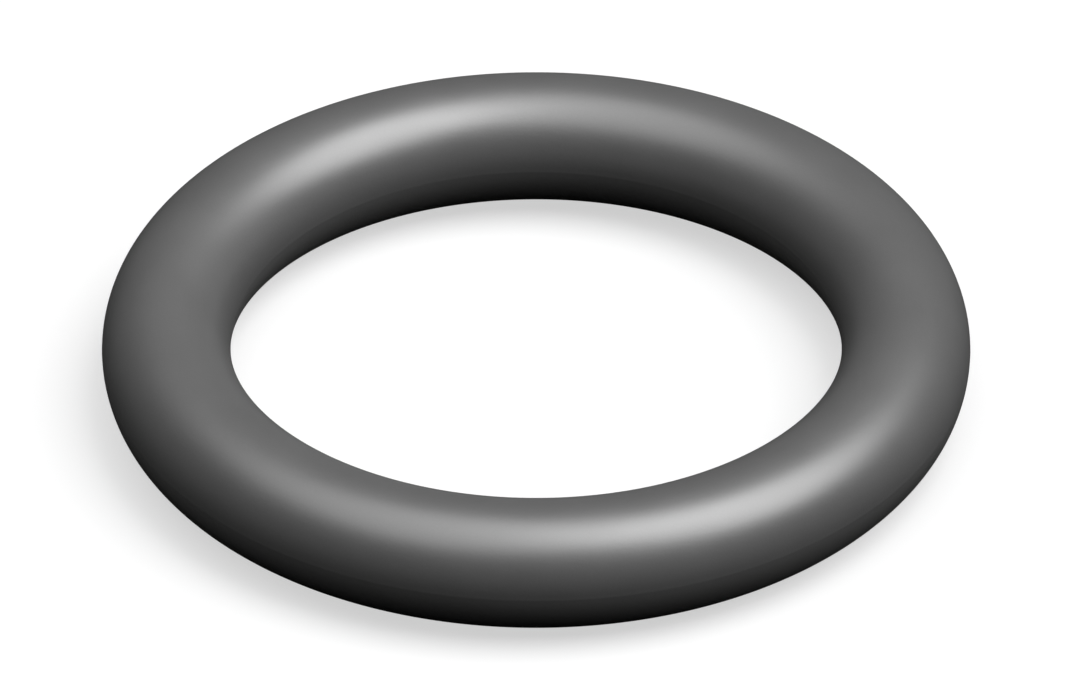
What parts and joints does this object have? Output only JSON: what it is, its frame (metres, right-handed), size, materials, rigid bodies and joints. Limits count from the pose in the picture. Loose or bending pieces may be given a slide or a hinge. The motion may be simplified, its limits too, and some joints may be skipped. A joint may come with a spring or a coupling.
{
  "type": "rubber o-ring",
  "caption": "Moulded rubber sealing ring of round section, pressed into a groove to seal a shaft, a bore or a face.",
  "frame": {"origin": "centre of the ring, on its mid-plane", "axes": "+Z along the ring's axis, with the ring lying flat across X and Y"},
  "size_m": [0.027, 0.027, 0.004],
  "materials": {
    "rubber": "satin"
  },
  "bodies": {
    "root": {"o_ring": "rubber"}
  },
  "joints": []
}
